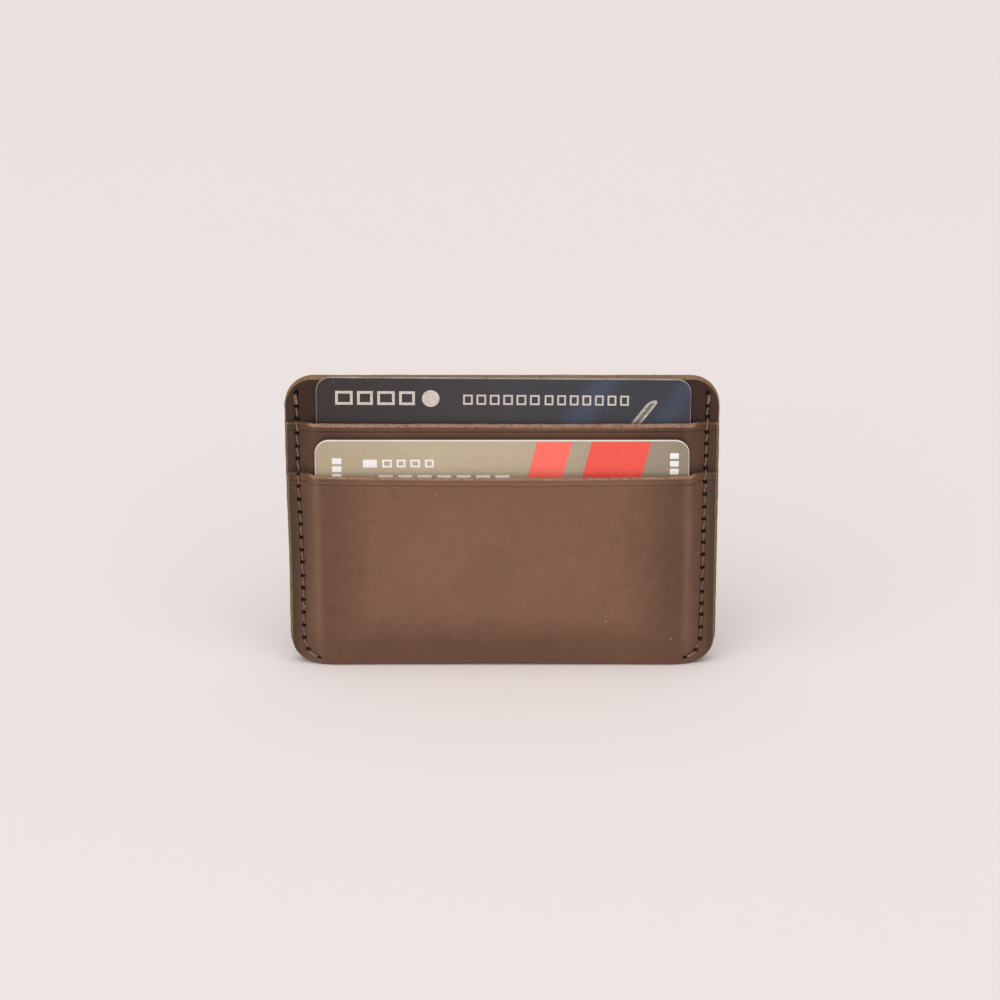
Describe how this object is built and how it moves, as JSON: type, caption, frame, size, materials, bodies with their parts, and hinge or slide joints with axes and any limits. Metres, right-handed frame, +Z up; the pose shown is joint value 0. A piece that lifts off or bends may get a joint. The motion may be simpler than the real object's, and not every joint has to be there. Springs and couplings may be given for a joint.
{
  "type": "card wallet",
  "caption": "Slim upright leather card wallet with stitched sides, stacked front pockets, a centre pocket and bank cards that slide out.",
  "frame": {"origin": "on the ground, under the middle of the wallet's bounding box, as it stands on its bottom fold", "axes": "+X across the wallet to the viewer's right, +Y towards its flat back, +Z up along the way the cards slide out; its front faces -Y"},
  "size_m": [0.0996, 0.0092, 0.0695],
  "materials": {
    "brown_leather": "oil-tanned, semi-matte",
    "thread": "waxed polyester thread",
    "card_core": "white PVC",
    "upper_card_print": "printed, satin",
    "upper_card_back": "printed, satin",
    "lower_card_print": "printed, satin",
    "lower_card_back": "printed, satin",
    "chip_contacts": "gold-plated contacts",
    "stripe": "magnetic stripe",
    "signature": "writable panel"
  },
  "bodies": {
    "wallet": {"outer_wrap": "brown_leather", "middle_pocket": "brown_leather", "divider": "brown_leather", "right_seam_needle_thread": "thread", "right_seam_bobbin_thread": "thread", "left_seam_needle_thread": "thread", "left_seam_bobbin_thread": "thread", "floor_seam_needle_thread": "thread", "floor_seam_bobbin_thread": "thread"},
    "upper_card": {"upper_card_core": "card_core", "upper_card_front_film": "upper_card_print", "upper_card_back_film": "upper_card_back", "upper_card_chip": "chip_contacts", "upper_card_magnetic_stripe": "stripe", "upper_card_signature_panel": "signature"},
    "lower_card": {"lower_card_core": "card_core", "lower_card_front_film": "lower_card_print", "lower_card_back_film": "lower_card_back", "lower_card_chip": "chip_contacts", "lower_card_magnetic_stripe": "stripe", "lower_card_signature_panel": "signature"}
  },
  "joints": [
    {"name": "upper_card_slide", "type": "slide", "parent": "wallet", "child": "upper_card", "axis": [0, -0.0071, 1], "range_m": [0, 0.046]},
    {"name": "lower_card_slide", "type": "slide", "parent": "wallet", "child": "lower_card", "axis": [0, -0.0299, 0.9996], "range_m": [0, 0.048]}
  ]
}
